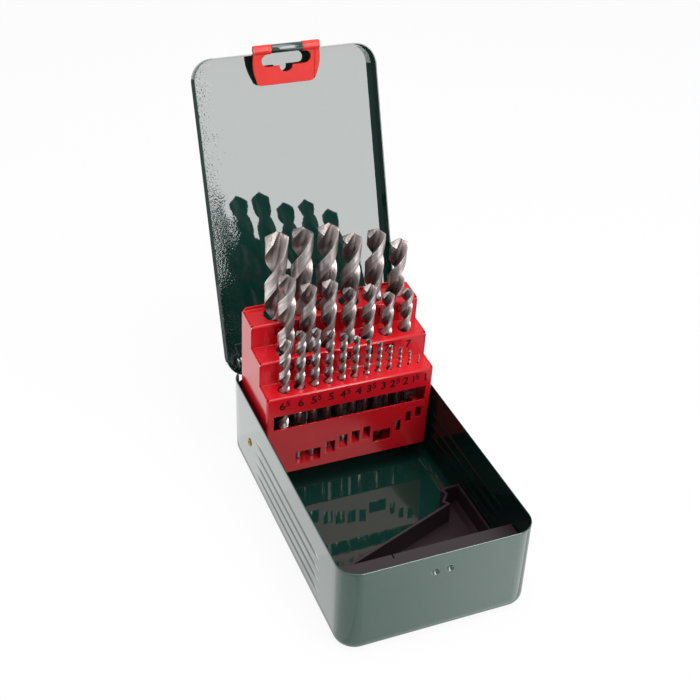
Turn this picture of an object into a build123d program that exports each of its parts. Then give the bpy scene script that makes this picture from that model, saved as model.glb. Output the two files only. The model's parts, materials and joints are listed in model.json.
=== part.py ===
from build123d import *
import os
from math import sin, cos, tan, atan2, hypot, radians, degrees, pi

# Drill bit case: a pressed steel case with a hinged lid, a folded rack of 25 twist drills that
# stands up as the lid opens, a moulded insert with a parts tray, and a plastic latch.
#
# Millimetres. X to the right, Y to the back, Z up. The origin is the middle of the case's
# underside. The model is written in its open position: the lid leans back on its hinge.

# ---------------------------------------------------------------- driving dimensions

# Case body
case_width = 109.6
case_length = 187.7
case_height = 55.9
case_sheet = 0.7
case_corner = 12.0
case_bottom_edge = 7.0
room_bevel = 0.8

# Pressed grooves in the side walls, and the two dimples in the front wall
groove_heights = (14.7, 22.3, 30.0, 38.0)
groove_from_front = 36.9
groove_from_back = 52.9
groove_half_width = 1.4
groove_depth = 0.5
dimple_spacing = 8.1
dimple_height = 44.2
dimple_radius = 1.6
dimple_depth = 0.6
dimple_sides = 8

# Hinge between case and lid
hinge_below_rim = 5.2
hinge_inset = 0.15
hinge_pin_radius = 1.0
hinge_length = 80.0
knuckle_count = 5
knuckle_sheet = 0.6
knuckle_gap = 0.3
hinge_notch_gap = 1.8
hinge_wall_gap = 0.35
knuckle_sides = 16

# Lid
lid_sheet = 0.6
lid_side_gap = 0.3
lid_top_gap = 0.4
lid_rim_depth = 8.5
lid_edge_chamfer = 0.5
lid_open_angle = 108.5
lid_rear_cutback = 12.0

# Latch
latch_width = 39.5
latch_height = 21.5
latch_sheet = 1.1
latch_rim_width = 2.3
latch_rim_height = 0.6
latch_lip_reach = 1.9
latch_wall_gap = 0.2
latch_barrel_wall = 0.7
latch_pin_radius = 1.95
latch_tube_width = 18.6
latch_tube_wall = 0.5
latch_tube_drop = 10.3
latch_window_width = 30.0
latch_window_top = 2.9
latch_window_bottom = 10.5
latch_notch_radius = 4.0

# Rack: steps of one folded sheet
rack_side_gap = 2.6
rack_sheet = 0.8
rack_bend = 0.4
step_depths = (13.95, 15.73, 17.3)
step_rises = (15.70, 14.84)
front_face_height = 58.0
rack_seat_depth = 64.5
rack_back_flange = 2.0
rack_flange_chamfer = 1.5
rack_slit = 0.2
rack_corner_relief = 0.6
rack_foot_chamfer = 6.0
rack_lean = 3.475
pivot_v = 20.6
pivot_w = -46.9
pivot_before_hinge = 36.5
pivot_z = 28.1

# Windows in the rack's front face: left, right, top, bottom
long_window = (-47.2, 47.7, -13.0, -23.4)
tab_length = 9.3
tabs_bent_at_bottom = (
    (-33.0, -17.5, -43.5, -53.0),
    (-14.5, -8.4, -40.5, -49.7),
    (-6.6, -0.5, -37.9, -47.5),
    (1.6, 7.0, -36.8, -46.0),
    (9.3, 13.9, -35.4, -44.9),
)
tabs_bent_at_top = (
    (16.0, 27.3, -39.6, -49.2),
    (30.5, 33.6, -34.8, -44.4),
    (36.7, 40.0, -29.7, -38.5),
    (42.8, 46.5, -27.5, -36.4),
)

# Drills: diameter, overall length, flute length
front_row = (
    (6.5, 101, 63), (6.0, 93, 57), (5.5, 93, 57), (5.0, 86, 52), (4.5, 80, 47), (4.0, 75, 43),
    (3.5, 70, 39), (3.0, 61, 33), (2.5, 57, 30), (2.0, 49, 24), (1.5, 40, 18), (1.0, 34, 12),
)
middle_row = (
    (10.0, 133, 87), (9.5, 125, 81), (9.0, 125, 81), (8.5, 117, 75), (8.0, 117, 75),
    (7.5, 109, 69), (7.0, 109, 69),
)
back_row = (
    (13.0, 151, 101), (12.5, 151, 101), (12.0, 151, 101), (11.5, 142, 94), (11.0, 142, 94),
    (10.5, 133, 87),
)
front_row_start, front_row_gap, front_row_share = -39.0, 5.05, 0.68
middle_row_start, middle_row_gap, middle_row_share = -33.4, 9.8, 0.3
back_row_start, back_row_gap, back_row_share = -34.2, 11.4, 0.3
front_row_v = 7.2
middle_row_v = 21.8
back_row_v = 38.4
drill_hole_clearance = 0.25
helix_angle = 28.0
point_angle = 118.0
twist_per_ring = 50.0
most_rings = 6
shank_sides = 8
land_half_angle = 22.5
web_share = 0.42
flute_share = 0.97
hole_sides = 10
head_sides = 12

# Rivets, spacers and the lift links between lid and rack
rivet_radius = 1.5
rivet_head_radius = 2.2
rivet_head_height = 0.7
running_gap = 0.05
press_gap = 0.02
spacer_radius = 3.5
link_sheet = 1.0
link_cheek_gap = 3.2
link_eye_radius = 3.4
link_width = 5.6
link_side_gap = 0.3
link_slack = 0.75
rack_pin_v = 23.54
rack_pin_w = -37.73
lid_pin_ahead_of_hinge = 7.94
lid_pin_above_hinge = 0.94
ear_sheet = 1.0
ear_radius = 2.6
ear_foot_length = 8.0
ear_foot_width = 5.0
pin_head_height = 0.6

# Moulded insert
insert_wall = 1.5
insert_gap = 0.7
shelf_top = 37.5
shelf_depth = 24.2
shelf_slit_x = -17.0
tray_floor = 3.0
tray_height = 16.5

# Tray outline: distances from the right wall and from the front wall of the case
tray_wall_points = ((15.1, 72.7), (16.9, 75.1), (12.1, 80.9), (13.3, 84.3), (9.1, 86.2))
tray_wall_start = 35.0
tray_overhang = 6.0
gusset_spacing = 30.0
gusset_reach = 12.0

# ---------------------------------------------------------------- sizes that follow

inner_half_width = case_width / 2 - case_sheet
inner_half_length = case_length / 2 - case_sheet
hinge_y = case_length / 2 - hinge_inset
groove_front = groove_from_front - case_length / 2
groove_back = case_length / 2 - groove_from_back
hinge_z = case_height - hinge_below_rim
knuckle_bore = hinge_pin_radius + running_gap
knuckle_radius = knuckle_bore + knuckle_sheet
knuckle_length = hinge_length / knuckle_count
notch_floor = hinge_z - knuckle_radius - hinge_wall_gap

lid_wall = lid_side_gap + lid_sheet
lid_width = case_width + 2 * lid_wall
lid_length = case_length + 2 * lid_wall
lid_top = case_height + lid_top_gap + lid_sheet
lid_rim_bottom = lid_top - lid_rim_depth
latch_bore = latch_pin_radius + running_gap
latch_tube_radius = latch_bore + latch_tube_wall
latch_barrel_radius = latch_bore + latch_barrel_wall
latch_y = -(case_length / 2 + latch_wall_gap + latch_barrel_radius)
latch_z = lid_top - latch_tube_drop

rack_width = 2 * (inner_half_width - rack_side_gap)
pivot_y = hinge_y - pivot_before_hinge
step_1 = step_depths[0]
step_2 = step_1 + step_depths[1]
step_3 = step_2 + step_depths[2]
rise_1 = step_rises[0]
rise_2 = rise_1 + step_rises[1]
cheek_back = step_3 - rack_sheet / 2
rack_foot = -rack_seat_depth - rack_sheet
cheek_inner = rack_width / 2 - rack_sheet
outer_bend = rack_bend + rack_sheet

lid_pin_y = hinge_y - lid_pin_ahead_of_hinge
lid_pin_z = hinge_z + lid_pin_above_hinge
link_x = cheek_inner - link_cheek_gap - link_sheet / 2
ear_x = link_x + link_sheet / 2 + link_side_gap + ear_sheet / 2
hinge_notch_width = 2 * (ear_x + ear_sheet / 2 + pin_head_height + hinge_notch_gap)

hinge_axis = Axis((0, hinge_y, hinge_z), (1, 0, 0))
rack_place = Pos(0, pivot_y, pivot_z) * Rot(rack_lean, 0, 0) * Pos(0, -pivot_v, -pivot_w)


# ---------------------------------------------------------------- helpers

def on_x(radius, x_start, x_end, y, z):
    """A round bar along X between two x values."""
    bar = Cylinder(radius, abs(x_end - x_start), rotation=(0, 90, 0))
    return Pos((x_start + x_end) / 2, y, z) * bar


def prism_on_x(radius, x_start, x_end, y, z, sides=head_sides):
    """A bar with narrow flats along X, its corners on the radius, for heads and knuckles."""
    outline = Plane.YZ * Pos(y, z) * RegularPolygon(radius, sides)
    return Pos(min(x_start, x_end), 0, 0) * extrude(outline, abs(x_end - x_start), dir=(1, 0, 0))


def hole_on_x(radius, x_start, x_end, y, z):
    """A bar with narrow flats that a round pin of this radius just passes inside."""
    outline = Plane.YZ * Pos(y, z) * RegularPolygon(radius, head_sides, major_radius=False)
    return Pos(min(x_start, x_end), 0, 0) * extrude(outline, abs(x_end - x_start), dir=(1, 0, 0))


def block(x_range, y_range, z_range):
    """A block given by its two ends along each axis."""
    (x0, x1), (y0, y1), (z0, z1) = x_range, y_range, z_range
    return Pos((x0 + x1) / 2, (y0 + y1) / 2, (z0 + z1) / 2) * Box(x1 - x0, y1 - y0, z1 - z0)


def cornered_block(width, length, height, corner):
    """A block with round upright corners, standing on z = 0."""
    return extrude(RectangleRounded(width, length, corner), height)


def dished_block(width, length, height, corner, edge):
    """The same block with a round lower edge."""
    body = cornered_block(width, length, height, corner)
    return fillet(body.edges().group_by(Axis.Z)[0], edge)


def side_plate(outline, x_start, x_end):
    """A flat plate square to X, from an outline of (y, z) points."""
    sketch = Plane.YZ * Polygon(*outline, align=None)
    return Pos(x_start, 0, 0) * extrude(sketch, x_end - x_start, dir=(1, 0, 0))


def opened(shape):
    """Swings a shape of the lid from its closed place to its open place."""
    return shape.rotate(hinge_axis, -lid_open_angle)


def opened_point(y, z):
    """Where a point of the closed lid comes to when the lid is open."""
    turn = radians(lid_open_angle)
    dy, dz = y - hinge_y, z - hinge_z
    return hinge_y + dy * cos(turn) + dz * sin(turn), hinge_z - dy * sin(turn) + dz * cos(turn)


def case_room(clearance, height=60.0):
    """What fits in the case body with a clearance on all sides, its low edge bevelled."""
    corner = case_corner - case_sheet - clearance
    room = cornered_block(
        2 * (inner_half_width - clearance),
        2 * (inner_half_length - clearance),
        height,
        corner,
    )
    bevel = room_bevel * (case_bottom_edge - case_sheet - clearance)
    room = chamfer(room.edges().group_by(Axis.Z)[0], bevel)
    return Pos(0, 0, case_sheet + clearance) * room


def knuckles(first):
    """Every second rolled knuckle of the hinge, from the first or the second place."""
    rolls = []
    for place in range(first, knuckle_count, 2):
        x_start = -hinge_length / 2 + place * knuckle_length + knuckle_gap / 2
        x_end = x_start + knuckle_length - knuckle_gap
        rolls.append((x_start, x_end))
    return rolls


# ---------------------------------------------------------------- case body

def bead(half_height, half_length, depth, side, wall_x):
    """A trapezoid ridge with sloping ends that points into the case from a side wall."""
    start = Plane(origin=(wall_x, 0, 0), x_dir=(0, 1, 0), z_dir=(-side, 0, 0))
    wide = start * Rectangle(2 * half_length, 2 * half_height)
    slope = depth + 0.2
    narrow = start.offset(depth) * Rectangle(2 * (half_length - slope), 2 * (half_height - slope))
    return loft([wide.face(), narrow.face()], ruled=True)


def pressed_groove(side, height):
    """The metal that one groove adds inside the side wall, and the metal that it takes away."""
    middle = (groove_front + groove_back) / 2
    half_length = (groove_back - groove_front) / 2
    outer_x = side * case_width / 2
    inner_x = side * inner_half_width
    grown = case_sheet / 2
    removed = bead(groove_half_width, half_length, groove_depth, side, outer_x)
    added = bead(groove_half_width + grown, half_length + grown, groove_depth, side, inner_x)
    place = Pos(0, middle, height)
    return place * added, place * removed


def dimple_cone(wide, narrow):
    """A shallow cone with flats, as deep as a dimple, standing on z = 0."""
    foot = RegularPolygon(wide, dimple_sides)
    top = Pos(0, 0, dimple_depth) * RegularPolygon(narrow, dimple_sides)
    return loft([foot.face(), top.face()], ruled=True)


def pressed_dimple(x):
    """The metal that one front dimple adds inside the wall, and the metal that it takes away."""
    wall = -case_length / 2
    turned = Pos(x, wall, dimple_height) * Rot(-90, 0, 0)
    removed = dimple_cone(dimple_radius, 0.4 * dimple_radius)
    added = dimple_cone(dimple_radius + case_sheet / 2, dimple_radius)
    return turned * Pos(0, 0, case_sheet) * added, turned * removed


def base_case():
    """Deep-drawn tray with its back wall lowered for the rolled hinge knuckles."""
    shell = dished_block(case_width, case_length, case_height, case_corner, case_bottom_edge)
    shell -= case_room(0)
    half_notch = hinge_notch_width / 2
    back_room = (case_length / 2 - case_corner + 3, case_length / 2 + 5)
    shell -= block((-half_notch, half_notch), back_room, (notch_floor, case_height + 5))

    wall = (case_length / 2 - case_sheet, case_length / 2)
    for x_start, x_end in knuckles(0):
        shell += block((x_start, x_end), wall, (notch_floor - 1, hinge_z - knuckle_bore - 0.2))
        shell += prism_on_x(knuckle_radius, x_start, x_end, hinge_y, hinge_z, knuckle_sides)
    shell -= on_x(knuckle_bore, -hinge_length, hinge_length, hinge_y, hinge_z)

    for side in (-1, 1):
        for height in groove_heights:
            added, removed = pressed_groove(side, height)
            shell = shell + added - removed
        hole = (side * (case_width / 2 - 3), side * (case_width / 2 + 3))
        shell -= hole_on_x(rivet_radius + press_gap, *hole, pivot_y, pivot_z)
        added, removed = pressed_dimple(side * dimple_spacing / 2)
        shell = shell + added - removed
    return shell


def hinge_pin():
    """Steel wire through the hinge knuckles."""
    return on_x(hinge_pin_radius, -hinge_length / 2 - 0.4, hinge_length / 2 + 0.4, hinge_y, hinge_z)


# ---------------------------------------------------------------- lid

def lid_skirt():
    """The lid's plate and rim, closed, without hinge or latch tube."""
    corner = case_corner + lid_wall
    outer = cornered_block(lid_width, lid_length, lid_rim_depth, corner)
    outer = chamfer(outer.edges().group_by(Axis.Z)[-1], lid_edge_chamfer)
    room = cornered_block(
        lid_width - 2 * lid_sheet,
        lid_length - 2 * lid_sheet,
        lid_rim_depth,
        corner - lid_sheet,
    )
    return Pos(0, 0, lid_rim_bottom) * (outer - Pos(0, 0, -lid_sheet) * room)


def lid_ear(side):
    """A bent ear inside the lid that carries the upper pin of a lift link."""
    x_inner = side * (ear_x - ear_sheet / 2)
    x_outer = side * (ear_x + ear_sheet / 2)
    under = lid_top - lid_sheet + 0.1
    front = lid_pin_y - ear_radius - ear_foot_length
    outline = (
        (front, under),
        (front, under - ear_sheet),
        (lid_pin_y - ear_radius, lid_pin_z),
        (lid_pin_y + ear_radius, lid_pin_z),
        (lid_pin_y + ear_radius, under),
    )
    ear = side_plate(outline, min(x_inner, x_outer), max(x_inner, x_outer))
    ear += prism_on_x(ear_radius, x_inner, x_outer, lid_pin_y, lid_pin_z)
    foot = sorted((side * (ear_x - ear_foot_width), x_outer))
    ear += block(foot, (front, front + ear_foot_length - 1), (under - ear_sheet, under))
    return ear


def latch_tube():
    """The tongue of the front rim, rolled outwards into the tube that carries the latch."""
    half = latch_tube_width / 2
    rim_out = -lid_length / 2
    rim_in = rim_out + lid_sheet
    tongue = side_plate(
        (
            (rim_out, lid_rim_bottom + 0.5),
            (rim_in, lid_rim_bottom + 0.5),
            (rim_in, lid_rim_bottom - 0.4),
            (latch_y + latch_tube_radius, latch_z),
            (latch_y + latch_bore + 0.1, latch_z),
            (rim_out, lid_rim_bottom - 0.4),
        ),
        -half,
        half,
    )
    roll = on_x(latch_tube_radius, -half, half, latch_y, latch_z)
    return roll + tongue - on_x(latch_bore, -half - 1, half + 1, latch_y, latch_z)


def lid():
    """Shallow pressed lid with rolled knuckles, link ears and latch tube, in its open place."""
    cover = lid_skirt()
    rear = lid_length / 2
    half_notch = hinge_notch_width / 2
    hinge_cut = hinge_z + 1.5
    cover -= block((-lid_width, lid_width), (rear - lid_rear_cutback - 0.5, rear + 1), (0, hinge_z + 0.3))
    cover -= block((-half_notch, half_notch), (rear - 3, rear + 1), (0, hinge_cut))
    reach = hinge_length / 2 + 1
    cover -= block((-reach, reach), (rear - 3, rear + 1), (0, hinge_z + knuckle_radius + 0.4))
    wall = (rear - lid_sheet, rear)
    for x_start, x_end in knuckles(1):
        cover += block((x_start, x_end), wall, (hinge_z + knuckle_bore + 0.15, hinge_z + 3))
        cover += prism_on_x(knuckle_radius, x_start, x_end, hinge_y, hinge_z, knuckle_sides)
    cover -= on_x(knuckle_bore, -hinge_length, hinge_length, hinge_y, hinge_z)

    barrel_room = latch_barrel_radius + 0.3
    for side in (-1, 1):
        x_range = sorted((side * latch_tube_width / 2, side * (latch_width / 2 + 0.6)))
        cover -= block(x_range, (-rear - 1, -rear + 2), (0, latch_z + barrel_room))
        cover += lid_ear(side)
        hole = (side * (ear_x - 2), side * (ear_x + 2))
        cover -= hole_on_x(rivet_radius + press_gap, *hole, lid_pin_y, lid_pin_z)
    cover += latch_tube()
    return opened(cover)


# ---------------------------------------------------------------- latch

def latch_outline():
    """Front outline of the latch plate: bowed sides and round lower corners."""
    half = latch_width / 2
    top = -latch_window_top / 2
    low = -latch_height
    corner = 3.2
    foot = half - 1.6
    line = Line((-half, top), (half, top))
    line += ThreePointArc((half, top), (half + 0.4, low / 2), (foot, low + corner))
    line += ThreePointArc((foot, low + corner), (foot - 1.1, low + 0.9), (foot - corner, low))
    line += Line((foot - corner, low), (corner - foot, low))
    line += ThreePointArc((corner - foot, low), (1.1 - foot, low + 0.9), (-foot, low + corner))
    line += ThreePointArc((-foot, low + corner), (-half - 0.4, low / 2), (-half, top))
    return make_face(line)


def latch():
    """Moulded snap latch with two barrels on the pin and a slot to hang the case by."""
    plate = latch_outline()
    height = latch_window_bottom - latch_window_top
    middle = -(latch_window_top + latch_window_bottom) / 2
    plate -= Pos(0, middle) * SlotOverall(latch_window_width, height)
    plate -= Pos(0, -latch_window_bottom) * Circle(latch_notch_radius)
    plate -= Pos(0, middle / 2) * Rectangle(latch_tube_width + 0.6, -middle)
    front = -latch_sheet / 2
    body = Pos(0, front, 0) * extrude(Plane.XZ * plate, latch_sheet, dir=(0, 1, 0))
    inside = latch_width / 2 - latch_rim_width
    middle_strip = Rectangle(2 * inside, 3 * latch_height)
    rims = Pos(0, front - latch_rim_height, 0) * extrude(
        Plane.XZ * (latch_outline() - middle_strip), latch_rim_height, dir=(0, 1, 0)
    )
    body += rims
    lip = block((-latch_width / 2 + 5, latch_width / 2 - 5), (front, latch_lip_reach),
                (-latch_height, -latch_height + 1.6))
    body += lip
    for side in (-1, 1):
        inner = side * (latch_tube_width / 2 + 0.3)
        body += prism_on_x(latch_barrel_radius, inner, side * latch_width / 2, 0, 0, knuckle_sides)
    body -= on_x(latch_bore, -latch_width, latch_width, 0, 0)
    y, z = opened_point(latch_y, latch_z)
    return Pos(0, y, z) * body


def latch_pin():
    """Wire pin through the lid's rolled tube and the latch barrels."""
    y, z = opened_point(latch_y, latch_z)
    half = latch_width / 2 - 0.4
    return on_x(latch_pin_radius, -half, half, y, z)


# ---------------------------------------------------------------- rack

def row_places(row, start, gap, share):
    """The x of each drill in a row: the pitch grows with the mean of two neighbours."""
    places = [start]
    for this, following in zip(row, row[1:]):
        places.append(places[-1] + gap + share * (this[0] + following[0]) / 2)
    return places


def seat_height(x):
    """How high the drill at this x stands in the front row: on a tab, or on the rack floor."""
    for left, right, top, bottom in tabs_bent_at_bottom:
        if left - 1 < x < right + 1:
            return bottom
    for left, right, top, bottom in tabs_bent_at_top:
        if left - 1 < x < right + 1:
            return top
    return -rack_seat_depth


def drill_places():
    """Every drill as (diameter, length, flute length, x, v, seat) in the rack's own frame."""
    places = []
    xs = row_places(front_row, front_row_start, front_row_gap, front_row_share)
    for (size, length, flute), x in zip(front_row, xs):
        places.append((size, length, flute, x, front_row_v, seat_height(x)))
    xs = row_places(middle_row, middle_row_start, middle_row_gap, middle_row_share)
    for (size, length, flute), x in zip(middle_row, xs):
        places.append((size, length, flute, x, middle_row_v, -rack_seat_depth))
    xs = row_places(back_row, back_row_start, back_row_gap, back_row_share)
    for (size, length, flute), x in zip(back_row, xs):
        places.append((size, length, flute, x, back_row_v, -rack_seat_depth))
    return places


def round_bends(section, convex, concave):
    """Rounds every bend of the strip: a small radius inside the bend, a larger one outside."""
    t = rack_sheet
    inner = concave + [(v + t, w - t) for v, w in convex]
    outer = convex + [(v + t, w - t) for v, w in concave]
    for bends, radius in ((outer, outer_bend), (inner, rack_bend)):
        places = [Vector(v, w) for v, w in bends]
        found = [p for p in section.vertices() if any((p.center() - c).length < 0.01 for c in places)]
        section = fillet(found, radius)
    return section


def stepped_sheet():
    """Front face, three steps and back flange: one strip with bends, between the cheeks."""
    t = rack_sheet
    convex = [(0, 0), (step_1, rise_1), (step_2, rise_2)]
    concave = [(step_1, 0), (step_2, rise_1), (step_3 - t, rise_2)]
    top = [(0, -front_face_height)]
    for outer, inner in zip(convex, concave):
        top += [outer, inner]
    top.append((step_3 - t, rise_2 + rack_back_flange))
    under = [(v + t, w - t) for v, w in top[1:-1]]
    under = [(t, -front_face_height)] + under + [(step_3, rise_2 + rack_back_flange)]
    section = Polygon(*top, *reversed(under), align=None)

    section = round_bends(section, convex, concave)
    half = cheek_inner - rack_slit
    sheet = Pos(-half, 0, 0) * extrude(Plane.YZ * section, 2 * half, dir=(1, 0, 0))
    flange_ends = sheet.edges().filter_by(Axis.Y).group_by(Axis.Z)[-1]
    return chamfer(flange_ends, rack_flange_chamfer)


def cheeks_and_face():
    """The two cheeks, bent back from the front face round upright bends."""
    half = rack_width / 2
    top = rise_2
    outline = RectangleRounded(rack_width, 2 * cheek_back, outer_bend)
    hollow = RectangleRounded(2 * cheek_inner, 2 * (cheek_back - rack_sheet), rack_bend)
    front = outline & Pos(0, -cheek_back / 2) * Rectangle(rack_width + 2, cheek_back)
    ring = front - hollow
    channel = Pos(0, cheek_back, rack_foot) * extrude(ring, top - rack_foot)
    chamfer = rack_foot_chamfer
    silhouette = side_plate(
        (
            (outer_bend, -front_face_height),
            (outer_bend + chamfer, rack_foot),
            (cheek_back - chamfer, rack_foot),
            (cheek_back, rack_foot + chamfer),
            (cheek_back, rise_2),
            (step_2 + outer_bend, rise_2),
            (step_2, rise_2 - outer_bend),
            (step_2, rise_1),
            (step_1 + outer_bend, rise_1),
            (step_1, rise_1 - outer_bend),
            (step_1, 0),
            (outer_bend, 0),
        ),
        -half,
        half,
    )
    face = block((-half, half), (0, outer_bend), (-front_face_height, -outer_bend))
    return channel & (silhouette + face)


def bent_tab(left, right, edge, top, bottom):
    """A tab cut from a window and bent inwards: a seat for one or two drills."""
    t = rack_sheet
    tab = block((left + 0.1, right - 0.1), (t / 2, tab_length), (edge - t, edge))
    window = block((left, right), (-1, t + 0.01), (bottom, top - (t if edge == top else 0)))
    return tab, window


def drill_rack():
    """The folded rack: stepped sheet, cheeks, windows, bent tabs and drill holes."""
    rack = stepped_sheet() + cheeks_and_face()
    left, right, top, bottom = long_window
    rack -= block((left, right), (-1, rack_sheet + 1), (bottom, top))
    for left, right, top, bottom in tabs_bent_at_bottom:
        tab, window = bent_tab(left, right, bottom, top, bottom)
        rack = rack - window + tab
    for left, right, top, bottom in tabs_bent_at_top:
        tab, window = bent_tab(left, right, top, top, bottom)
        rack = rack - window + tab

    step_tops = {front_row_v: 0.0, middle_row_v: rise_1, back_row_v: rise_2}
    for size, length, flute, x, v, seat in drill_places():
        outline = RegularPolygon(size / 2 + drill_hole_clearance, hole_sides, major_radius=False)
        rack -= Pos(x, v, step_tops[v]) * extrude(outline, 2 * rack_sheet, both=True)

    for side in (-1, 1):
        for v, w in ((0, 0), (step_1, rise_1), (step_2, rise_2)):
            relief = Box(2 * rack_corner_relief, 2 * rack_corner_relief, 3 * rack_sheet)
            rack -= Pos(side * (cheek_inner - rack_slit / 2), v + outer_bend, w) * relief
        x_range = (side * (cheek_inner - 2), side * (cheek_inner + 3))
        rack -= hole_on_x(rivet_radius + running_gap, *x_range, pivot_v, pivot_w)
        rack -= hole_on_x(rivet_radius + press_gap, *x_range, rack_pin_v, rack_pin_w)
    return rack_place * rack


def rack_floor():
    """The plate that the long drills stand on, with side flanges welded to the cheeks."""
    top = -rack_seat_depth
    half = cheek_inner - running_gap
    v_front = 10.0
    v_back = step_3 - 1.0
    link_notch = link_x - link_sheet / 2 - 0.9
    flange_back = rack_pin_v + 6.5
    floor = block((-half, half), (v_front, v_back), (top - rack_sheet, top))
    for side in (-1, 1):
        notch = sorted((side * link_notch, side * (half + 1)))
        floor -= block(notch, (flange_back, v_back + 1), (top - 2, top + 1))
        flange = sorted((side * (half - rack_sheet), side * half))
        floor += block(flange, (v_front, flange_back), (top - rack_sheet, top + 6))
    return rack_place * floor


# ---------------------------------------------------------------- rivets, spacers, links

def pivot_rivet(side):
    """Brass rivet that the rack turns on, through the case wall, the spacer and the cheek."""
    wall = case_width / 2
    inner = cheek_inner - running_gap
    rivet = on_x(rivet_radius, side * (inner - 0.4), side * (wall + 0.4), pivot_y, pivot_z)
    head = (side * wall, side * (wall + rivet_head_height))
    rivet += prism_on_x(rivet_head_radius, *head, pivot_y, pivot_z)
    head = (side * inner, side * (inner - 0.9))
    return rivet + prism_on_x(rivet_head_radius, *head, pivot_y, pivot_z)


def pivot_spacer(side):
    """Ring that keeps the cheek away from the case wall."""
    x_range = (side * (rack_width / 2 + running_gap), side * (inner_half_width - press_gap))
    ring = prism_on_x(spacer_radius, *x_range, pivot_y, pivot_z)
    return ring - hole_on_x(rivet_radius + running_gap, *x_range, pivot_y, pivot_z)


def lift_link(side):
    """Flat link from the rack's pin up to the lid's ear."""
    y0, z0 = rack_pin_place()
    y1, z1 = opened_point(lid_pin_y, lid_pin_z)
    length = hypot(y1 - y0, z1 - z0)
    angle = degrees(atan2(z1 - z0, y1 - y0))
    bar = Pos(length / 2, 0) * Rectangle(length, link_width)
    eye = RegularPolygon(link_eye_radius, head_sides)
    bar += eye + Pos(length, 0) * eye
    bar -= Circle(rivet_radius + running_gap)
    loose = RegularPolygon(rivet_radius + running_gap + link_slack, head_sides, major_radius=False)
    bar -= Pos(length, 0) * loose
    plate = extrude(Plane.YZ * (Pos(y0, z0) * Rot(0, 0, angle) * bar), link_sheet / 2, both=True)
    return Pos(side * link_x, 0, 0) * plate


def rack_pin_place():
    """World y and z of the pin that the rack carries for the links."""
    lean = radians(rack_lean)
    dv, dw = rack_pin_v - pivot_v, rack_pin_w - pivot_w
    return pivot_y + dv * cos(lean) - dw * sin(lean), pivot_z + dv * sin(lean) + dw * cos(lean)


def link_pin(side, outer, plate, y, z, head):
    """Shouldered pin: through a plate of the given thickness, then the link, with two heads."""
    inside = link_x - link_sheet / 2 - running_gap
    shoulder = link_x + link_sheet / 2 + link_side_gap
    pin = prism_on_x(rivet_radius, side * (inside - 0.4), side * (outer + 0.3), y, z)
    pin += prism_on_x(head, side * inside, side * (inside - 0.8), y, z)
    pin += prism_on_x(head, side * (outer + running_gap), side * (outer + pin_head_height), y, z)
    seat = outer - plate - running_gap
    if seat > shoulder:
        pin += prism_on_x(head, side * shoulder, side * seat, y, z)
    return pin


def rack_link_pin(side):
    """Pin on one of the rack's cheeks."""
    y, z = rack_pin_place()
    return link_pin(side, rack_width / 2, rack_sheet, y, z, rivet_head_radius)


def lid_link_pin(side):
    """Pin in one of the lid's ears."""
    y, z = opened_point(lid_pin_y, lid_pin_z)
    head = rivet_radius + running_gap + link_slack + 0.7
    return link_pin(side, ear_x + ear_sheet / 2, ear_sheet, y, z, head)


def both_sides(make):
    """A piece for the left and one for the right, as two solids of one node."""
    return Compound([make(side) for side in (-1, 1)])


# ---------------------------------------------------------------- moulded insert

def front_shelf():
    """Ledge across the front of the case, on a skirt that follows the case walls."""
    y_back = -inner_half_length + insert_gap + shelf_depth
    reach = case_width
    over = block((-reach, reach), (-case_length, y_back), (tray_height + running_gap, shelf_top))
    solid = case_room(insert_gap) & over
    under = block((-reach, reach), (-case_length, y_back + 1), (0, shelf_top - insert_wall))
    solid -= case_room(insert_gap + insert_wall) & under
    lip = block((-inner_half_width + 4, inner_half_width - 4), (y_back - insert_wall, y_back),
                (shelf_top - 3.5, shelf_top))
    solid += lip
    for side in (-1, 1):
        x = side * gusset_spacing
        wall = -inner_half_length + insert_gap + insert_wall - 0.2
        foot = shelf_top - insert_wall + 0.2
        outline = ((wall, foot), (wall + gusset_reach, foot), (wall, foot - gusset_reach))
        solid += side_plate(outline, x - insert_wall / 2, x + insert_wall / 2)
    slit = block((shelf_slit_x - 0.4, shelf_slit_x + 0.4), (y_back - 3, y_back + 1), (0, shelf_top + 1))
    return solid - slit


def parts_tray():
    """Low open tray for loose parts, with one slanted wall and a stepped corner."""
    right, front = inner_half_width, -inner_half_length
    side = right + tray_overhang
    wall = [(right - x, front + y) for x, y in tray_wall_points]
    outline = [(-side, front + tray_wall_start), *wall, (side, wall[-1][1])]
    outline += [(side, front - tray_overhang), (-side, front - tray_overhang)]
    region = Polygon(*outline, align=None)
    height = tray_height - insert_gap - case_sheet
    base = case_sheet + insert_gap
    outer = Pos(0, 0, base) * extrude(region, height, dir=(0, 0, 1)) & case_room(insert_gap)
    pocket_region = offset(region, -insert_wall, kind=Kind.INTERSECTION)
    pocket = Pos(0, 0, tray_floor) * extrude(pocket_region, tray_height, dir=(0, 0, 1))
    return outer - (pocket & case_room(insert_gap + insert_wall))


# ---------------------------------------------------------------- twist drills

def ring_points(radius, turn, height, point_height=None):
    """Six points round a two-flute section; on the point they lie on its cone."""
    points = []
    for half_turn in (0, 180):
        for angle, share in ((-land_half_angle, 1.0), (land_half_angle, 1.0), (90, web_share)):
            a = radians(angle + half_turn + turn)
            z = height if point_height is None else height + point_height * (1 - share)
            points.append(Vector(share * radius * cos(a), share * radius * sin(a), z))
    return points


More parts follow.
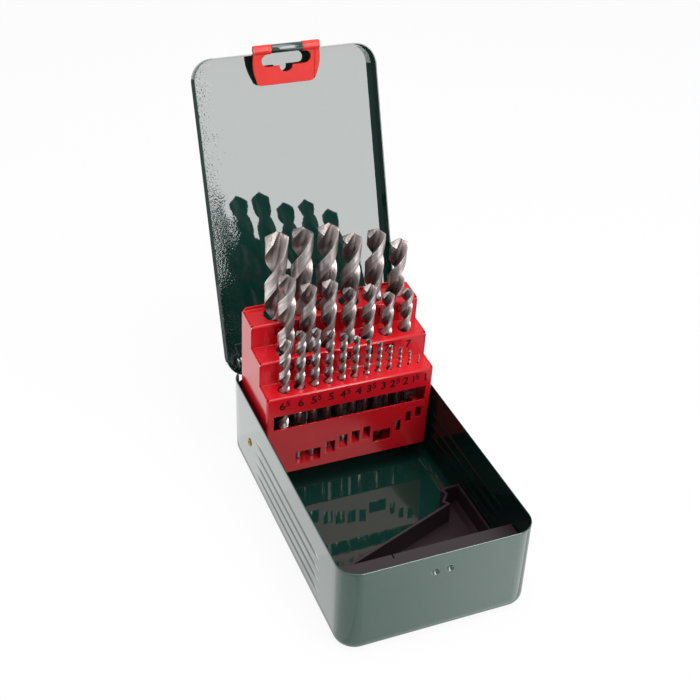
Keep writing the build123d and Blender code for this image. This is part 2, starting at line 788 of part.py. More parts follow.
def fluted_body(radius, z_start, z_end):
    """The twisted part of a drill as flat triangles between turned rings, with its point."""
    cone = radius / tan(radians(point_angle / 2))
    lead = 2 * pi * radius / tan(radians(helix_angle))
    turn = min(360 * (z_end - cone - z_start) / lead, most_rings * twist_per_ring)
    steps = round(turn / twist_per_ring)
    rings = []
    for i in range(steps):
        height = z_start + (z_end - cone - z_start) * i / steps
        rings.append(ring_points(radius, turn * i / steps, height))
    rings.append(ring_points(radius, turn, z_end - cone, cone))
    tip = Vector(0, 0, z_end)
    faces = [Face(Wire.make_polygon(rings[0]))]
    count = len(rings[0])
    for low, high in zip(rings, rings[1:]):
        for j in range(count):
            k = (j + 1) % count
            faces.append(Face(Wire.make_polygon([low[j], low[k], high[k]])))
            faces.append(Face(Wire.make_polygon([low[j], high[k], high[j]])))
    for j in range(count):
        faces.append(Face(Wire.make_polygon([rings[-1][j], rings[-1][(j + 1) % count], tip])))
    return Solid(Shell(faces))


def twist_drill(size, length, flute):
    """Shank with many narrow flats, and the twisted fluted body."""
    radius = size / 2
    shank_length = length - flute
    shank = extrude(Rot(0, 0, land_half_angle) * RegularPolygon(radius, shank_sides), shank_length)
    body = fluted_body(radius * flute_share, shank_length - 0.05 * size, length)
    return shank + body


def drill_name(size):
    """Node name from the drill's size, such as drill_06_5."""
    return f"drill_{int(size):02d}_{int(round(size * 10)) % 10}"


# ---------------------------------------------------------------- build and write

def build():
    """All nodes by name, in the open position."""
    nodes = {
        "base_case": base_case(),
        "hinge_pin": hinge_pin(),
        "lid": lid(),
        "latch": latch(),
        "latch_pin": latch_pin(),
        "drill_rack": drill_rack(),
        "rack_floor": rack_floor(),
        "front_shelf": front_shelf(),
        "parts_tray": parts_tray(),
        "pivot_rivets": both_sides(pivot_rivet),
        "pivot_spacers": both_sides(pivot_spacer),
        "lift_links": both_sides(lift_link),
        "rack_link_pins": both_sides(rack_link_pin),
        "lid_link_pins": both_sides(lid_link_pin),
    }
    for size, length, flute, x, v, seat in drill_places():
        nodes[drill_name(size)] = rack_place * Pos(x, v, seat) * twist_drill(size, length, flute)
    return nodes


os.makedirs("parts", exist_ok=True)
for name, shape in build().items():
    export_step(shape, f"parts/{name}.step")
    print(name, len(shape.solids()), round(shape.volume, 1))
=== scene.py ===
# %% [markdown]
# # A drill bit case in pressed steel, with its rack of twist drills
#
# The packed CAD model is the skeleton of this scene: every box, sheet and pin is already
# there at its real size. This file gives the parts their skin. We light a small studio, mix
# the paints, metals and plastics, and put finer surfaces of our own in the place of the
# plain CAD drills, case body and rivets.
#
# Everything is in metres, in the frame of the CAD model: X to the right, Y to the back and
# Z up, with the origin in the middle of the underside of the case.

# %% Load the packed model
import bmesh
import bpy
import json
import math
import numpy as np
from mathutils import Matrix, Vector


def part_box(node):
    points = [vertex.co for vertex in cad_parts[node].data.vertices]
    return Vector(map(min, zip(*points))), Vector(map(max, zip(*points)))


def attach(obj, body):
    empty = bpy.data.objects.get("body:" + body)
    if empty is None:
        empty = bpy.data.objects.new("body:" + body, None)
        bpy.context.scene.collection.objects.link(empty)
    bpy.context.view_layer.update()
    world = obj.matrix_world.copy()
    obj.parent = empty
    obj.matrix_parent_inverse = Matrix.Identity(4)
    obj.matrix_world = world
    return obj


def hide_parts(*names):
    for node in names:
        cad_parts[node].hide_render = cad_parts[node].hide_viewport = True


MM = 0.001
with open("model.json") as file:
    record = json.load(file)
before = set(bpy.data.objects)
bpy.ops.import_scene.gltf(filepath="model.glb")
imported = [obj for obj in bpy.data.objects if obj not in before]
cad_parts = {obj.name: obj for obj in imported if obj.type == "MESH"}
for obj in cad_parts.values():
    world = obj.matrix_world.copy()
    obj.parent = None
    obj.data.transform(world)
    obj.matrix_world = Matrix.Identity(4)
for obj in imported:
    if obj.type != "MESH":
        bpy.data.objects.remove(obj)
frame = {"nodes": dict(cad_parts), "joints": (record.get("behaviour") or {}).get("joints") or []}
nodes = frame["nodes"]
joints = {joint["name"]: joint for joint in frame["joints"]}
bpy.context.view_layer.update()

# %% [markdown]
# ## The camera
#
# A long lens keeps the sides of the box nearly parallel. The camera's turn is written as a
# yaw, a pitch and a small roll, and its matrix is built from them, so that no helper of
# Blender's has to know the size of the rendered image.

# %% Camera
CAMERA_PLACE = np.array([-224.803, -494.19, 488.288]) * MM
CAMERA_YAW, CAMERA_PITCH, CAMERA_ROLL = 0.399, 0.598, 0.038
FOCAL_PIXELS, IMAGE_PIXELS, SENSOR_MM = 1231.97, 700, 36.0


def camera_matrix(place, yaw, pitch, roll):
    """Columns are right, up and backwards: right and up turn by roll about the view line."""
    forward = np.array([math.sin(yaw) * math.cos(pitch),
                        math.cos(yaw) * math.cos(pitch),
                        -math.sin(pitch)])
    right = np.array([math.cos(yaw), -math.sin(yaw), 0.0])
    up = np.cross(right, forward)
    matrix = np.eye(4)
    matrix[:3, 0] = math.cos(roll) * right + math.sin(roll) * up
    matrix[:3, 1] = math.cos(roll) * up - math.sin(roll) * right
    matrix[:3, 2] = -forward
    matrix[:3, 3] = place
    return Matrix(matrix.tolist())


camera_data = bpy.data.cameras.new("camera")
camera_data.sensor_width = SENSOR_MM
camera_data.lens = FOCAL_PIXELS / IMAGE_PIXELS * SENSOR_MM
camera = bpy.data.objects.new("camera", camera_data)
camera.matrix_world = camera_matrix(CAMERA_PLACE, CAMERA_YAW, CAMERA_PITCH, CAMERA_ROLL)
bpy.context.scene.collection.objects.link(camera)
bpy.context.scene.camera = camera
bpy.context.scene.view_settings.view_transform = "Standard"
print("camera with a", round(camera_data.lens, 1), "mm lens")

# %% [markdown] ## The node kit  Every finish below is a small tree of shader nodes. In
# Blender's own calls each node takes several lines: add it, set its properties, fill its
# inputs, join it up. An input is given as a plain value, or as the output of another node that
# feeds it.

# %% A kit for node trees


class NodeKit:
    """Builds the node tree of a material or a world."""

    def __init__(self, owner):
        owner.use_nodes = True
        self.tree = owner.node_tree
        self.tree.nodes.clear()

    def add(self, kind, inputs=(), **settings):
        """Adds a node, sets its properties and fills or joins its inputs."""
        node = self.tree.nodes.new("ShaderNode" + kind)
        for key, value in settings.items():
            setattr(node, key, value)
        for socket, value in dict(inputs).items():
            if isinstance(value, bpy.types.NodeSocket):
                self.tree.links.new(value, node.inputs[socket])
            else:
                node.inputs[socket].default_value = value
        return node

    def place(self):
        """Object coordinates: metres in the frame of the model."""
        return self.add("TexCoord").outputs["Object"]

    def maths(self, operation, *values):
        """The result of one sum."""
        return self.add("Math", dict(enumerate(values)), operation=operation).outputs[0]

    def rescale(self, value, start, end, low=0.0, high=1.0, **settings):
        """Brings a value between start and end to between low and high, and stops there."""
        inputs = {"Value": value, "From Min": start, "From Max": end, "To Min": low, "To Max": high}
        return self.add("MapRange", inputs, **settings).outputs["Result"]

    def noise(self, place, scale, detail=2.0):
        """Cloudy noise from 0 to 1 whose clouds are about 1 / scale wide."""
        return self.add("TexNoise", {"Vector": place, "Scale": scale, "Detail": detail}).outputs["Fac"]

    def ramp(self, value, bands):
        """Colours that blend from one (value, colour) band to the next."""
        node = self.add("ValToRGB", {"Fac": value})
        elements = node.color_ramp.elements
        while len(elements) < len(bands):
            elements.new(0.5)
        for element, (position, colour) in zip(elements, bands):
            element.position = position
            element.color = (*colour, 1.0)
        return node.outputs["Color"]

    def bump(self, height, distance, strength=1.0, normal=None):
        """A normal tilted as if height 1 stood this distance above height 0."""
        inputs = {"Height": height, "Distance": distance, "Strength": strength}
        if normal:
            inputs["Normal"] = normal
        return self.add("Bump", inputs).outputs["Normal"]


def new_material(name):
    """An empty node material and its kit."""
    material = bpy.data.materials.new(name)
    return material, NodeKit(material)


print("node kit with", ", ".join(call for call in vars(NodeKit) if not call.startswith("_")))

# %% [markdown]
# ## The floor and the world
#
# The case stands on white paper in a white room. A floor lit by lamps alone would need so much
# light that the paint washes out. So the paper glows by itself where the camera or a mirror
# sees it, and the rays that carry soft light find plain diffuse paper. The little that is not
# glow still takes the shadow, which stays faint.

# %% Floor
FLOOR_HALF = 3.0
FLOOR_DROP = 0.3 * MM
FLOOR_GLOW = 0.92
PAPER = (0.94, 0.94, 0.94, 1.0)
WHITE = (1.0, 1.0, 1.0, 1.0)


def seen_directly(kit):
    """1 for camera, glossy and transmission rays, 0 for the rays that carry soft light."""
    ray = kit.add("LightPath").outputs
    seen = kit.maths("MAXIMUM", ray["Is Camera Ray"], ray["Is Glossy Ray"])
    return kit.maths("MAXIMUM", seen, ray["Is Transmission Ray"])


def floor_material():
    """Diffuse paper, mixed with its own white glow where it is seen."""
    material, kit = new_material("studio_floor")
    paper = kit.add("BsdfDiffuse", {"Color": PAPER})
    glow = kit.add("Emission", {"Color": WHITE})
    share = kit.maths("MULTIPLY", seen_directly(kit), FLOOR_GLOW)
    mix = kit.add("MixShader", {0: share, 1: paper.outputs[0], 2: glow.outputs[0]})
    kit.add("OutputMaterial", {"Surface": mix.outputs[0]})
    return material


signs = np.array([(-1, -1), (1, -1), (1, 1), (-1, 1)])
floor_mesh = bpy.data.meshes.new("studio_floor")
floor_mesh.from_pydata([(*corner, -FLOOR_DROP) for corner in FLOOR_HALF * signs], [], [(0, 1, 2, 3)])
floor_mesh.materials.append(floor_material())
floor = bpy.data.objects.new("studio_floor", floor_mesh)
bpy.context.scene.collection.objects.link(floor)
print("floor", 2 * FLOOR_HALF, "m wide")

# %% World
WORLD_LIGHT = 0.42

world = bpy.data.worlds.new("studio")
kit = NodeKit(world)
strength = kit.rescale(seen_directly(kit), 0.0, 1.0, WORLD_LIGHT, 1.0)
background = kit.add("Background", {"Color": WHITE, "Strength": strength})
kit.add("OutputWorld", {"Surface": background.outputs[0]})
bpy.context.scene.world = world
print("world gives", WORLD_LIGHT, "of white as soft light")

# %% [markdown]
# ## Lamps and cards
#
# Glossy paint and ground steel only look like themselves when they have something to mirror,
# and product studios hang white cards for that. A card is an area lamp that only glossy
# surfaces see, so it shapes the reflections and adds no diffuse light. One stands in front,
# where the inside of the open lid mirrors it, and one hangs high for the floor of the case. The
# fill in front does the opposite: it lights the parts and no surface mirrors it.

# %% Soft boxes and cards


def soft_box(name, place, towards, size, radiance, lights=True, mirrored=True):
    """An area lamp whose surface has this radiance: its power is radiance x area x pi.

    With lights off only glossy surfaces see it. With mirrored off no surface mirrors it.
    """
    lamp = bpy.data.lights.new(name, "AREA")
    lamp.shape = "RECTANGLE"
    lamp.size, lamp.size_y = size
    lamp.energy = radiance * size[0] * size[1] * math.pi
    box = bpy.data.objects.new(name, lamp)
    box.location = place
    box.rotation_mode = "QUATERNION"
    box.rotation_quaternion = Vector(np.array(towards) - np.array(place)).to_track_quat("-Z", "Y")
    box.visible_camera = False
    box.visible_diffuse = lights
    box.visible_glossy = mirrored
    bpy.context.scene.collection.objects.link(box)


soft_box("top_box", (0.05, -0.1, 1.2), towards=(0.0, 0.0, 0.05), size=(0.9, 0.9), radiance=4.0)
soft_box("front_fill", (0.45, -1.2, 0.85), towards=(0.0, 0.0, 0.1), size=(0.9, 0.9),
         radiance=2.6, mirrored=False)
soft_box("front_card", (0.36, -1.05, 0.38), towards=(0.0, 0.13, 0.17), size=(0.72, 0.7),
         radiance=8.6, lights=False)
soft_box("high_card", (0.42, -0.85, 0.98), towards=(0.0, 0.0, 0.05), size=(0.8, 0.6),
         radiance=11.0, lights=False)

# %% [markdown]
# ## Graded strips on the table
#
# The outer walls mirror the table beside them. One big card there would show its edge in the
# paint, so each wall gets a fan of narrow strips that face up and grow brighter one by one:
# the wall then has a slow gradient. The gap between the two fans leaves the rounded corner
# darker than the walls beside it.

# %% Strips
LEFT_GLOWS = np.linspace(0.25, 1.0, 7)
LEFT_STRIP = (0.6, 0.06)
LEFT_X, LEFT_FROM_Y = -0.358, -0.14
FRONT_GLOWS = np.r_[np.linspace(0.25, 1.35, 15), 1.35]
FRONT_WIDTH, FRONT_LAST_WIDTH, FRONT_LENGTH = 0.008, 0.6, 0.5
FRONT_FROM_X, FRONT_Y = -0.055, -0.345


def table_strip(name, x, y, size, glow):
    """A card that lies on the table and faces up."""
    soft_box(name, (x, y, 0.0), (x, y, 1.0), size, glow, lights=False)


for step, glow in enumerate(LEFT_GLOWS):
    y = LEFT_FROM_Y + (step + 0.5) * LEFT_STRIP[1]
    table_strip(f"left_strip_{step}", LEFT_X, y, LEFT_STRIP, glow)
for step, glow in enumerate(FRONT_GLOWS):
    width = FRONT_WIDTH if step < len(FRONT_GLOWS) - 1 else FRONT_LAST_WIDTH
    x = FRONT_FROM_X + FRONT_WIDTH * step + 0.5 * width
    table_strip(f"front_strip_{step}", x, FRONT_Y, (width, FRONT_LENGTH), glow)
print("strips", len(LEFT_GLOWS) + len(FRONT_GLOWS))

# %% [markdown]
# ## Baked enamel
#
# The case and the rack are sprayed with enamel and baked. Under the gloss the paint is quite
# dull: the shine comes from the clear skin on top. A Principled shader can say just that, with
# its own specular at zero and a coat over it. Two small things keep it from looking like
# glass: the colour wanders a little, and a very low bump bends the mirror image. Blender's
# noise rarely leaves the stretch from 0.3 to 0.7, so that is what the colours are spread over.

# %% Enamel
COAT_IOR = 1.6
ENAMEL_ROUGHNESS = 0.5
MOTTLE_SCALE, MOTTLE_SHADE = 60.0, 0.9
NOISE_LOW, NOISE_HIGH = 0.3, 0.7


def mottled(kit, place, colour):
    """The colour in soft patches, between nine tenths of itself and itself."""
    shade = tuple(MOTTLE_SHADE * channel for channel in colour)
    return kit.ramp(kit.noise(place, MOTTLE_SCALE), ((NOISE_LOW, shade), (NOISE_HIGH, colour)))


def enamel_shader(kit, place, colour, coat, coat_roughness, normal):
    """A dull colour under a clear coat, which alone gives the gloss."""
    return kit.add("BsdfPrincipled", {
        "Base Color": mottled(kit, place, colour), "Roughness": ENAMEL_ROUGHNESS,
        "Specular IOR Level": 0.0, "Normal": normal, "Coat Normal": normal,
        "Coat Weight": coat, "Coat IOR": COAT_IOR, "Coat Roughness": coat_roughness})


def enamel(name, colour, coat, coat_roughness, bump_scale, bump_height):
    """Enamel of one colour with an even, very low bump."""
    material, kit = new_material(name)
    place = kit.place()
    normal = kit.bump(kit.noise(place, bump_scale), bump_height)
    shader = enamel_shader(kit, place, colour, coat, coat_roughness, normal)
    kit.add("OutputMaterial", {"Surface": shader.outputs[0]})
    return material


# Colour, weight and roughness of the coat, scale of the bumps and their height. The walls inside
# the case are duller than the outside, and both they and the floor inside are darker: painted
# shade, the case's own green dimmed where the box shades itself.
ENAMELS = {
    "case_paint": ((0.009, 0.058, 0.042), 1.0, 0.04, 420.0, 0.02 * MM),
    "case_inside": ((0.004, 0.016, 0.013), 0.5, 0.08, 420.0, 0.02 * MM),
    "case_floor": ((0.006, 0.036, 0.028), 1.0, 0.04, 420.0, 0.01 * MM),
    "rack_paint": ((0.66, 0.010, 0.019), 0.55, 0.15, 500.0, 0.01 * MM),
}
finishes = {name: enamel(name, *values) for name, values in ENAMELS.items()}
print("enamels", sorted(finishes))

# %% [markdown]
# ## The lid's enamel
#
# The lid stands like a mirror behind the drills. Paint gathers along one long edge of its
# inside and dries as orange peel, a bump too coarse for the rest of the panel. So this enamel
# asks where it is. Inside means further in than the middle of the sheet, measured from the
# outermost points of the CAD lid, and the peel fades out along a ragged line. The coat is
# thinner outside, so that a closed lid shows its green and not the studio. A closed lid lies
# flat, so the open one leans back by its whole swing less a right angle.

# %% Points of a CAD part


def read_array(things, name, kind, width=1):
    """One property of all the vertices, corners or faces of a mesh as an array."""
    values = np.empty(len(things) * width, kind)
    things.foreach_get(name, values)
    return values.reshape(-1, width) if width > 1 else values


def mesh_points(node):
    """The vertices of a CAD node as an array, one row each."""
    return read_array(nodes[node].data.vertices, "co", np.float32, 3).astype(float)


print("the lid has", len(mesh_points("lid")), "points")

# %% Lid paint
LID_LEAN = math.radians(-joints["lid_swing"]["range_deg"][0] - 90)
LID_INWARDS = np.array([0.0, -math.cos(LID_LEAN), math.sin(LID_LEAN)])
HALF_LID_SHEET = 0.3 * MM
# The lid's green is darker than the case's outside green: painted shade, for a lid that stands in shade
# behind the rack.
LID_SHADED_GREEN = (0.006, 0.038, 0.030)
OUTSIDE_COAT, LID_COAT_ROUGHNESS = 0.12, 0.03
SMOOTH_SCALE, SMOOTH_HEIGHT = 300.0, 0.01 * MM
PEEL_SCALE, PEEL_HEIGHT = 850.0, 0.26 * MM
PEEL_X, PEEL_FADE = -54.0 * MM, 16.0 * MM
RAGGED, RAGGED_SCALE = 30.0 * MM, 45.0


def inside_of_lid(kit, place, x):
    """1 where a point is more than half a sheet in from the panel and from both side walls."""
    depth = kit.add("VectorMath", {0: place, 1: LID_INWARDS}, operation="DOT_PRODUCT").outputs["Value"]
    points = mesh_points("lid")
    panel = float((points @ LID_INWARDS).min()) + HALF_LID_SHEET
    left, right = float(points[:, 0].min()), float(points[:, 0].max())
    past_left = kit.maths("GREATER_THAN", x, left + HALF_LID_SHEET)
    short_of_right = kit.maths("LESS_THAN", x, right - HALF_LID_SHEET)
    between = kit.maths("MULTIPLY", past_left, short_of_right)
    return kit.maths("MULTIPLY", kit.maths("GREATER_THAN", depth, panel), between)


def lid_paint():
    """Enamel with orange peel inside: full at x = PEEL_X and gone PEEL_FADE further on."""
    material, kit = new_material("lid_paint")
    place = kit.place()
    x = kit.add("SeparateXYZ", {0: place}).outputs["X"]
    inside = inside_of_lid(kit, place, x)
    ragged_x = kit.maths("ADD", x, kit.maths("MULTIPLY", kit.noise(place, RAGGED_SCALE), RAGGED))
    full = PEEL_X + RAGGED / 2
    near_edge = kit.rescale(ragged_x, full + PEEL_FADE, full, interpolation_type="SMOOTHSTEP")
    share = kit.maths("MULTIPLY", near_edge, inside)
    peel = kit.maths("MULTIPLY", share, kit.noise(place, PEEL_SCALE, 1.0))
    smooth = kit.bump(kit.noise(place, SMOOTH_SCALE), SMOOTH_HEIGHT)
    normal = kit.bump(peel, PEEL_HEIGHT, normal=smooth)
    coat = kit.rescale(inside, 0.0, 1.0, OUTSIDE_COAT, 1.0)
    shader = enamel_shader(kit, place, LID_SHADED_GREEN, coat, LID_COAT_ROUGHNESS, normal)
    kit.add("OutputMaterial", {"Surface": shader.outputs[0]})
    return material


finishes["lid_paint"] = lid_paint()
print("orange peel up to", round((PEEL_X + PEEL_FADE) / MM, 1), "mm in X")

# %% [markdown]
# ## Wire, brass, plastic and ink
#
# The small parts have no clear skin, so one plain recipe serves them all: a mottled colour, a
# roughness, and either metal or a share of specular. The latch is soft red plastic. Red light
# wanders a millimetre or two inside it and other colours hardly at all, which is what gives
# such plastic its warm glow, so it alone has some subsurface scattering.

# %% Metals and plastics


def uncoated(name, colour, roughness, **inputs):
    """A mottled colour without a coat. Inputs are named as on the shader, with underscores."""
    material, kit = new_material(name)
    values = {"Base Color": mottled(kit, kit.place(), colour), "Roughness": roughness}
    values.update({socket.replace("_", " "): value for socket, value in inputs.items()})
    shader = kit.add("BsdfPrincipled", values)
    kit.add("OutputMaterial", {"Surface": shader.outputs[0]})
    return material


finishes.update({
    "wire_steel": uncoated("wire_steel", (0.62, 0.62, 0.63), 0.25, Metallic=1.0),
    "link_steel": uncoated("link_steel", (0.55, 0.55, 0.55), 0.35, Metallic=1.0),
    "rivet_brass": uncoated("rivet_brass", (0.3, 0.17, 0.05), 0.35, Metallic=1.0),
    "insert_plastic": uncoated("insert_plastic", (0.018, 0.008, 0.012), 0.4, Specular_IOR_Level=0.4),
    "ink": uncoated("ink", (0.035, 0.002, 0.004), 0.5, Specular_IOR_Level=0.1),
    "latch_plastic": uncoated("latch_plastic", (0.88, 0.032, 0.022), 0.3, Specular_IOR_Level=0.2,
                              Subsurface_Weight=0.45, Subsurface_Radius=(1.0, 0.12, 0.08),
                              Subsurface_Scale=1.5 * MM),
})
print("finishes so far", len(finishes))

# %% [markdown]
# ## Drill steel
#
# A twist drill is ground along its spiral. The wheel leaves streaks that follow the flute and
# the lands shine. Deeper in the flute the colour is darker: partly the flute's own duller steel,
# partly painted shade in the hollow. A pattern fixed in space can't follow a spiral, so the drills
# carry two attributes, which we fill when we build them: flute_depth says how deep a point lies
# in the flute, and grinding is a place on the drill before it was twisted. The shank has
# flute_depth SHANK: no swirls there, a smoother surface, and a dark colour that is painted shade
# for shanks that stand in the shade inside the rack.

# %% Drill steel
SHANK = -0.5
SWIRL_STRETCH, SWIRL_HEIGHT = (650.0, 650.0, 220.0), 0.28 * MM
STREAK_SHARE, STREAK_DETAIL = 0.6, 3.0
# Colours by flute depth plus a share of the streaks. The first band, which the shank takes, is painted
# shade; the dark bands of the flute bottoms are partly the steel's own and partly painted shade.
STEEL_BANDS = (
    (0.0, (0.26, 0.24, 0.24)),
    (0.2, (0.64, 0.605, 0.6)),
    (0.3, (0.42, 0.385, 0.38)),
    (0.44, (0.25, 0.215, 0.208)),
    (0.9, (0.15, 0.125, 0.12)),
)
STEEL_SMOOTH, STEEL_ROUGH, SHANK_SMOOTHER = 0.34, 0.46, 0.22


def ground_steel():
    """Colour by flute depth plus a share of the streaks, and soft swirls off the shank."""
    material, kit = new_material("drill_steel")
    depth = kit.add("Attribute", attribute_name="flute_depth").outputs["Fac"]
    grinding = kit.add("Attribute", attribute_name="grinding").outputs["Vector"]
    streaks = kit.noise(grinding, 1.0, STREAK_DETAIL)
    flute_shade_and_streaks = kit.maths("MULTIPLY_ADD", streaks, STREAK_SHARE, depth)
    stretched = kit.add("Mapping", {"Vector": kit.place(), "Scale": SWIRL_STRETCH}).outputs["Vector"]
    off_shank = kit.rescale(depth, 0.5 * SHANK, 0.0)
    normal = kit.bump(kit.noise(stretched, 1.0), SWIRL_HEIGHT, off_shank)
    rough = kit.rescale(streaks, NOISE_LOW, NOISE_HIGH, STEEL_SMOOTH, STEEL_ROUGH)
    on_shank = kit.maths("MINIMUM", depth, 0.0)
    rough = kit.maths("MULTIPLY_ADD", on_shank, SHANK_SMOOTHER, rough)
    shader = kit.add("BsdfPrincipled", {"Base Color": kit.ramp(flute_shade_and_streaks, STEEL_BANDS), "Metallic": 1.0,
                                        "Roughness": rough, "Normal": normal})
    kit.add("OutputMaterial", {"Surface": shader.outputs[0]})
    return material


finishes["drill_steel"] = ground_steel()
print("steel with", len(STEEL_BANDS), "bands of colour")

# %% [markdown]
# ## Handing out the finishes
#
# The CAD parts come with plain materials named after the slots of the model, so each slot
# takes the finish of its own name. The lid shares the case's slot and gets its own enamel.

# %% Finishes on the CAD parts
for node, part in nodes.items():
    for place in part.material_slots:
        slot = "lid_paint" if node == "lid" else place.material.name.split(".")[0]
        place.material = finishes[slot]
print("finishes on", len(nodes), "parts")

# %% [markdown]
# ## Rolled and moulded edges
#
# No real sheet or moulding has a knife edge, and it is the thin highlight on an edge that says
# so. The CAD edges are sharp to keep the model light. A Weld modifier first joins the loose
# triangles of a CAD mesh and a Bevel then rounds each edge that turns by more than 40 degrees.
# Both are modifiers, so the CAD mesh itself stays as it is.

# %% Soft edges
SOFT_EDGES_MM = {"lid": 0.25, "drill_rack": 0.35, "latch": 0.35, "front_shelf": 0.3, "parts_tray": 0.3}
EDGE_ANGLE = math.radians(40)
WELD_DISTANCE = 0.002 * MM
for node, width in SOFT_EDGES_MM.items():
    weld = nodes[node].modifiers.new("weld", "WELD")
    weld.merge_threshold = WELD_DISTANCE
    bevel = nodes[node].modifiers.new("edges", "BEVEL")
    bevel.width = width * MM
    bevel.segments = 2
    bevel.limit_method = "ANGLE"
    bevel.angle_limit = EDGE_ANGLE
    bevel.use_clamp_overlap = True
    bevel.harden_normals = True
print("softened", sorted(SOFT_EDGES_MM))

# %% [markdown]
# ## Grids, fans and pieces
#
# The drills, the case body and the rivets are built alike: numpy works out a grid of points,
# with the columns going around, and the faces follow from the shape of the grid alone. Fans of
# triangles close the ends of a drill or a rivet. Written once, the helpers serve all of them.

# %% Faces of a grid


def grid_quads(rows, columns, ring=False):
    """Quads of a tube of rows x columns. With ring, the last row joins the first as well."""
    i, j = np.meshgrid(np.arange(rows if ring else rows - 1), np.arange(columns), indexing="ij")
    up, on = (i + 1) % rows, (j + 1) % columns
    quads = np.stack([i * columns + j, i * columns + on, up * columns + on, up * columns + j], -1)
    return quads.reshape(-1, 4)


def end_fans(rows, columns):
    """Triangles from the first and last row to the two points that follow the grid."""
    j = np.arange(columns)
    on = (j + 1) % columns
    first_end, last_end, last_row = rows * columns, rows * columns + 1, (rows - 1) * columns
    low = np.stack([np.full(columns, first_end), on, j], -1)
    high = np.stack([np.full(columns, last_end), last_row + j, last_row + on], -1)
    return np.vstack([low, high])


def joined(parts):
    """Several (points, faces, ...) as one: the faces of each part count on from the last."""
    starts = np.cumsum([0] + [len(part[0]) for part in parts])
    kinds = zip(*(part[1:] for part in parts))
    faces = [np.vstack([same + start for same, start in zip(kind, starts)]) for kind in kinds]
    return np.vstack([part[0] for part in parts]), *faces


print("a tube of 3 x 8 points has", len(grid_quads(3, 8)), "quads and", len(end_fans(3, 8)), "triangles")

# %% From arrays to a piece
SHARP_ANGLE = 35.0


def make_mesh(name, points, *faces, sharp_angle=SHARP_ANGLE):
    """A Blender mesh from points and arrays of faces, smooth up to an angle in degrees."""
    mesh = bpy.data.meshes.new(name)
    corners = np.concatenate([kind.ravel() for kind in faces]).astype(np.int32)
    totals = np.concatenate([np.full(len(kind), kind.shape[1]) for kind in faces])
    mesh.vertices.add(len(points))
    mesh.vertices.foreach_set("co", np.asarray(points, np.float32).ravel())
    mesh.loops.add(len(corners))
    mesh.loops.foreach_set("vertex_index", corners)
    mesh.polygons.add(len(totals))
    mesh.polygons.foreach_set("loop_start", (np.cumsum(totals) - totals).astype(np.int32))
    mesh.update(calc_edges=True)
    mesh.validate()
    mesh.shade_smooth()
    mesh.set_sharp_from_angle(angle=math.radians(sharp_angle))
    return mesh


def place_piece(name, mesh, materials, body, replaced=()):
    """Links a finished piece, lets it ride on its body and hides any CAD parts it stands for."""
    piece = bpy.data.objects.new(name, mesh)
    bpy.context.scene.collection.objects.link(piece)
    for material in materials:
        mesh.materials.append(finishes[material])
    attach(piece, body)
    if replaced:
        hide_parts(*replaced)


print("edges stay sharp above", SHARP_ANGLE, "degrees")

# %% [markdown]
# ## Ground twist drills
#
# A twist drill is a bar with two spiral flutes and a ground point. It could be carved with
# boolean cutters, but a spiral cut leaves ragged faces, and there are 25 drills. Instead each
# drill is one grid of points. Around, the section has two lands and two flutes. A flute is a
# circle cut into the round bar, so its polar radius has a closed form. Along, the section
# turns with the helix, the flutes run out above the shank, and every column ends on the ground
# point.

# %% The section of a drill
FLUTE_CENTRE, FLUTE_RADIUS = 1.05, 0.87
FLUTE_HALF = math.acos((1 + FLUTE_CENTRE**2 - FLUTE_RADIUS**2) / (2 * FLUTE_CENTRE))
LAND = math.pi - 2 * FLUTE_HALF
MARGIN = math.radians(9.0)
LAND_RELIEF = 0.035
LAND_COLUMNS, FLUTE_COLUMNS = 6, 20


def section_angles():
    """Angles around a drill, from one margin: the land, its flute, and both once more."""
    land = np.r_[0.0, 0.5 * MARGIN, MARGIN, MARGIN + 0.01, np.linspace(0.3, LAND - 0.02, LAND_COLUMNS)]
    flute = LAND + 2 * FLUTE_HALF * np.linspace(0, 1, FLUTE_COLUMNS + 1)[:-1]
    half = np.r_[land, flute]
    return np.r_[half, half + math.pi]


def section_radius(angle):
    """Radius over drill radius: 1 on the margin, 1 - relief on the land, and in the flute
    c cos(phi) - sqrt(q^2 - c^2 sin^2(phi)), with phi from the flute's middle."""
    turn = np.mod(angle, math.pi)
    phi = np.clip(turn - (math.pi - FLUTE_HALF), -FLUTE_HALF, FLUTE_HALF)
    c, q = FLUTE_CENTRE, FLUTE_RADIUS
    flute = c * np.cos(phi) - np.sqrt(q * q - (c * np.sin(phi)) ** 2)
    land = np.where(turn <= MARGIN + 1e-6, 1.0, 1.0 - LAND_RELIEF)
    return np.where(turn < LAND, land, np.minimum(flute, 1.0))


print("land", round(math.degrees(LAND)), "degrees, flute", round(math.degrees(2 * FLUTE_HALF)), "degrees")

# %% One drill as a closed surface
SLOW_HELIX, FAST_HELIX = math.radians(32.5), math.radians(41)
SLOW_RADIUS, FAST_RADIUS = 6.5 * MM, 3.25 * MM
POINT_HALF_ANGLE = math.radians(59)
RELIEF_SLOPE = 0.2
DEGREES_PER_ROW = 6.0
RUN_OUT = 1.2
FOOT_GAP = 0.02 * MM
FOOT_SHARE, FOOT_HEIGHT = 0.82, 0.2
TIP_DEPTH = 0.4
GRIND_SCALE, GRIND_STRETCH = 4.0, 6.0


def shank_rows(radius, start):
    """Heights and radii of the shank: a foot with a small chamfer, then a plain round bar."""
    heights = np.array([FOOT_GAP, FOOT_HEIGHT * radius, 0.5 * start, 0.98 * start])
    return heights[:, None], radius * np.array([FOOT_SHARE, 1.0, 1.0, 1.0])[:, None]


